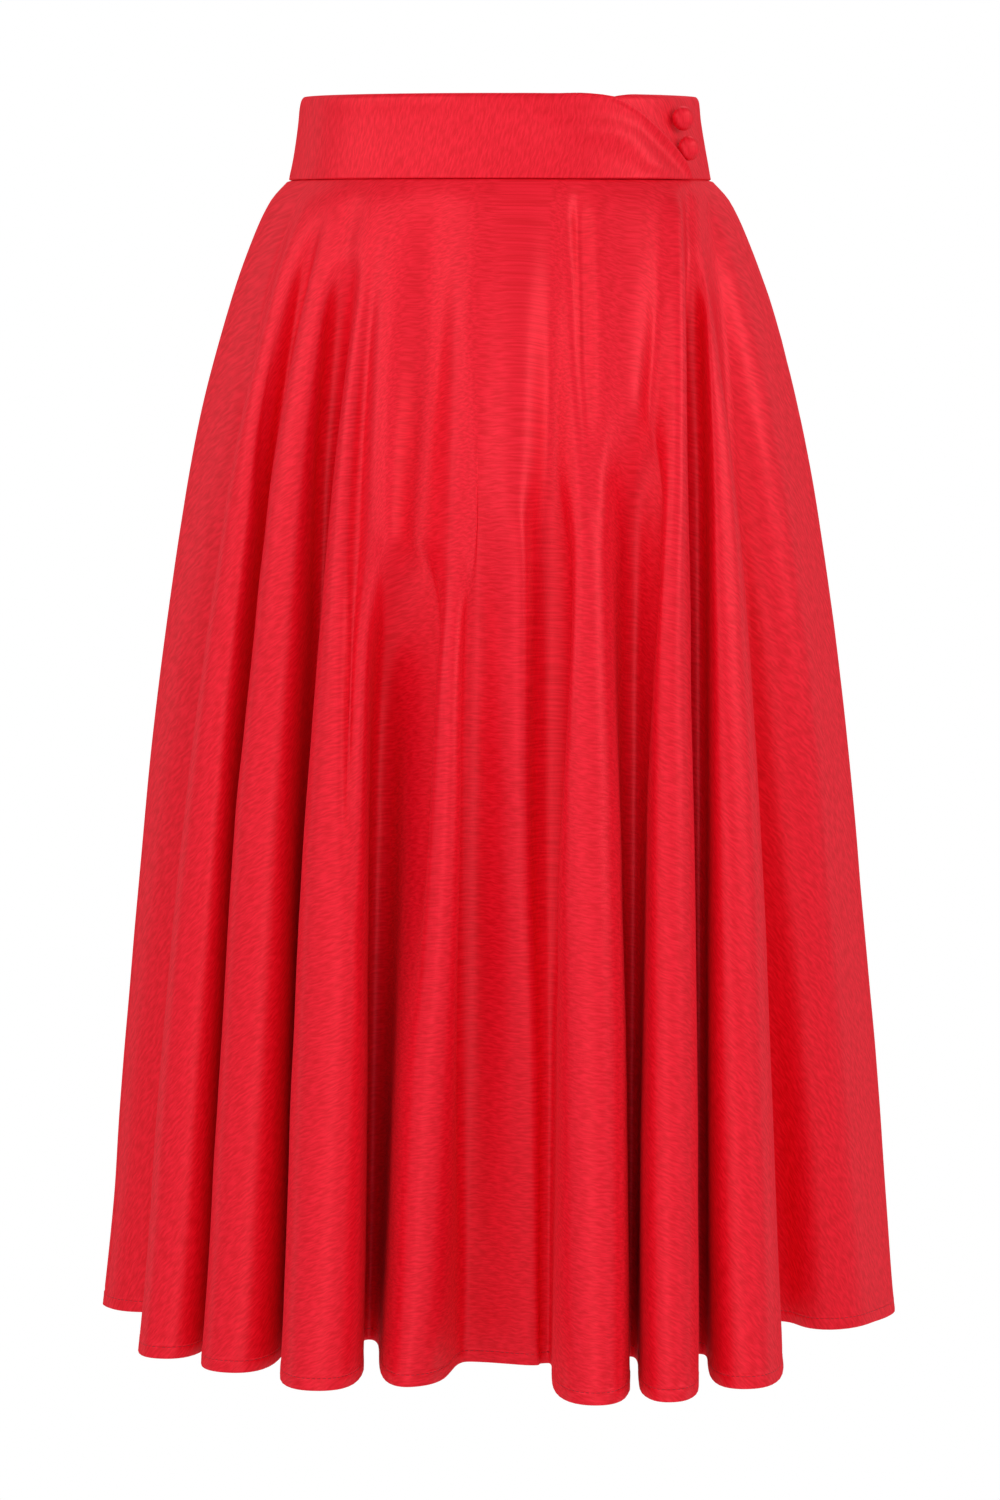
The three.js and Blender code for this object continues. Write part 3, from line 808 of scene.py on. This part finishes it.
def crepe(name, red_crinkle_shade, red_crinkle_highlight, bump=1.0):
    """Satin-faced crepe: short wavy crinkles across the grain, a fine thread grain, a soft tinted shine, and
    a painted shade in the crinkles' hollows and a painted highlight on their crests.
    """
    shader = Shader(name)
    place = shader.node("TexCoord").outputs["UV"]
    wander = shader.noise(place, WANDER_SCALE, 1.0).outputs["Color"]
    centred = shader.compute("VectorMath", "SUBTRACT", wander, (0.5, 0.5, 0.5))
    shift = shader.compute("VectorMath", "MULTIPLY", centred, CRINKLE_WANDER)
    warped = shader.compute("VectorMath", "ADD", place, shift)
    stretched = shader.compute("VectorMath", "MULTIPLY", warped, CRINKLES)
    crinkle = shader.noise(stretched, 1.0, 1.5).outputs["Fac"]
    patches = shader.noise(place, PATCH_SCALE, 2.0).outputs["Fac"]
    threads = shader.noise(place, THREAD_SCALE, 0.0).outputs["Fac"]
    uneven = shader.compute("Math", "MULTIPLY", crinkle, patches)
    grain = shader.compute("Math", "MULTIPLY", threads, THREAD_SHARE)
    height = shader.compute("Math", "ADD", uneven, grain)
    raised = shader.node("Bump", Strength=CRINKLE_STRENGTH * bump, Distance=CRINKLE_HEIGHT, Height=height)
    # The base red follows the crinkles' heights: painted shade in their hollows, painted highlight on their
    # crests.
    painted_crinkle_shading = shader.node("ValToRGB", Fac=crinkle)
    for element, position, colour in zip(painted_crinkle_shading.color_ramp.elements, (0.3, 0.7), (red_crinkle_shade, red_crinkle_highlight)):
        element.position = position
        element.color = (*colour, 1)
    grazing = shader.node("LayerWeight", Blend=0.5)
    rough = shader.node(
        "MapRange",
        Value=grazing.outputs["Facing"],
        From_Min=GRAZING_FROM,
        From_Max=GRAZING_TO,
        To_Min=SATIN_ROUGHNESS,
        To_Max=GRAZING_ROUGHNESS,
    )
    shader.set(
        Base_Color=painted_crinkle_shading.outputs["Color"],
        Roughness=rough.outputs["Result"],
        Normal=raised.outputs["Normal"],
        Metallic=0.18,
        Specular_IOR_Level=0.38,
        Specular_Tint=(1, 0.65, 0.75, 1),
    )
    return shader.material


def thread(name, colour):
    shader = Shader(name)
    place = shader.node("TexCoord").outputs["Object"]
    twist = shader.node("TexWave", Vector=place, Scale=900.0, Distortion=1.0)
    raised = shader.node("Bump", Strength=0.5, Distance=0.0001, Height=twist.outputs["Fac"])
    shader.set(Base_Color=(*colour, 1), Roughness=0.5, Normal=raised.outputs["Normal"])
    return shader.material


def white_to_the_eye(nodes, links, dim, output):
    """A white seen as white, which lights the rest only as much as its dim shader does."""
    bright = nodes.new("ShaderNodeEmission")
    bright.inputs["Color"].default_value = (1, 1, 1, 1)
    seen = nodes.new("ShaderNodeLightPath")
    blend = nodes.new("ShaderNodeMixShader")
    links.new(seen.outputs["Is Camera Ray"], blend.inputs["Fac"])
    links.new(dim, blend.inputs[1])
    links.new(bright.outputs[0], blend.inputs[2])
    links.new(blend.outputs[0], output)


def floor(height, size):
    shader = Shader("floor_white")
    shader.set(Base_Color=(0.8, 0.8, 0.8, 1), Roughness=0.8)
    output = shader.nodes["Material Output"].inputs["Surface"]
    white_to_the_eye(shader.nodes, shader.links, shader.surface.outputs[0], output)
    half = size / 2
    corners = [(-half, -half, height), (half, -half, height), (half, half, height), (-half, half, height)]
    ground = mesh_object("floor", corners, [(0, 1, 2, 3)], shader.material)


# What the softboxes are turned to, in metres; how bright the white room is in front, behind and at the
# sides; and each softbox's place and size in metres and its power in watts.
TARGET = (0, 0, -0.35)
SKY_FRONT, SKY_BACK, SKY_SIDE = 0.86, 0.95, 0.26
SOFTBOXES = {
    "key_high": ((-1.5, -2.2, 1.4), 0.9, 11),
    "key_front": ((0.1, -3.3, -0.3), 1.4, 9),
    "side_left": ((-2.5, -0.9, 1.0), 1.2, 13),
    "side_right": ((2.5, -0.9, 0.8), 1.2, 19),
    "back_high": ((0.5, 2.4, 2.0), 0.9, 16),
}


def softbox(name, place, size, power):
    lamp = bpy.data.lights.new(name, "AREA")
    lamp.size, lamp.energy = size, power
    holder = bpy.data.objects.new(name, lamp)
    holder.location = place
    holder.rotation_euler = (Vector(TARGET) - Vector(place)).to_track_quat("-Z", "Y").to_euler()
    bpy.context.scene.collection.objects.link(holder)


def studio():
    """A white room, brightest in front and behind and dimmer at the sides, with its softboxes."""
    world = bpy.data.worlds.new("studio")
    bpy.context.scene.world = world
    world.use_nodes = True
    nodes, links = world.node_tree.nodes, world.node_tree.links
    way = nodes.new("ShaderNodeSeparateXYZ")
    links.new(nodes.new("ShaderNodeTexCoord").outputs["Generated"], way.inputs[0])
    depth = nodes.new("ShaderNodeMapRange")
    links.new(way.outputs["Y"], depth.inputs["Value"])
    depth.inputs["From Min"].default_value = -1
    sky = nodes.new("ShaderNodeValToRGB")
    links.new(depth.outputs[0], sky.inputs["Fac"])
    sky.color_ramp.interpolation = "EASE"
    elements = sky.color_ramp.elements
    elements[0].color = (SKY_FRONT, SKY_FRONT, SKY_FRONT, 1)
    elements[1].color = (SKY_BACK, SKY_BACK, SKY_BACK, 1)
    elements.new(0.5).color = (SKY_SIDE, SKY_SIDE, SKY_SIDE, 1)
    dim = nodes["Background"]
    links.new(sky.outputs[0], dim.inputs["Color"])
    white_to_the_eye(nodes, links, dim.outputs[0], nodes["World Output"].inputs["Surface"])
    for name, (place, size, power) in SOFTBOXES.items():
        softbox(name, place, size, power)
    bpy.context.scene.view_settings.view_transform = "Standard"


# The photograph's camera: its place in metres, its pitch in degrees, its focal length in image pixels.
CAMERA_PLACE = (0, -3.0, -0.067)
CAMERA_PITCH = -5.8
IMAGE_HEIGHT = 1500
FOCAL_PIXELS = 4918
SENSOR = 36


def camera():
    data = bpy.data.cameras.new("camera")
    data.sensor_width = SENSOR
    data.lens = SENSOR * FOCAL_PIXELS / IMAGE_HEIGHT
    holder = bpy.data.objects.new("camera", data)
    holder.location = CAMERA_PLACE
    holder.rotation_euler = (math.radians(90 + CAMERA_PITCH), 0, 0)
    bpy.context.scene.collection.objects.link(holder)
    bpy.context.scene.camera = holder


def dress(piece, node=None):
    """Sets a piece on the part's one body, and in place of its solid if it has one."""
    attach(piece, "root")
    if node:
        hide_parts(node)


FLOOR_HEIGHT = -1030
FLOOR_SIZE = 14000
# The cloth's own red, painted darker as shade in the crinkles' hollows and lighter as highlight on their
# crests.
CLOTH_RED_CRINKLE_SHADE = (0.76, 0.003, 0.013)
CLOTH_RED_CRINKLE_HIGHLIGHT = (0.93, 0.009, 0.028)
THREAD_COLOUR = (0.42, 0.004, 0.012)
BUTTON_BUMP = 0.3

camera()
studio()
floor(FLOOR_HEIGHT, FLOOR_SIZE)

skirt_cloth = crepe("red_crepe_skirt", CLOTH_RED_CRINKLE_SHADE, CLOTH_RED_CRINKLE_HIGHLIGHT)
band_cloth = crepe("red_crepe_waistband", CLOTH_RED_CRINKLE_SHADE, CLOTH_RED_CRINKLE_HIGHLIGHT)
button_cloth = crepe("red_crepe_button", CLOTH_RED_CRINKLE_SHADE, CLOTH_RED_CRINKLE_HIGHLIGHT, BUTTON_BUMP)
red_thread = thread("red_thread", THREAD_COLOUR)

skirt = Skirt()
front = Panel(skirt, RIGHT_SEAM, LEFT_SEAM)
back = Panel(skirt, LEFT_SEAM, len(CREASES))
for side, panel in (("front", front), ("back", back)):
    name, band = "skirt_" + side, "waistband_" + side
    piece = panel.shell(name + "_cloth", skirt_cloth)
    dress(piece, name)
    hem = stitches(name + "_hem_stitches", *panel.hem_line(), red_thread)
    dress(hem)
    width, length, area = panel.cut_size()

for (band, cut), side in zip(waistband(band_cloth), ("front", "back")):
    dress(band, "waistband_" + side)
    length, height, area = cut

for name, (x, height) in BUTTONS.items():
    dress(button(name + "_cloth", x, height, button_cloth), name)
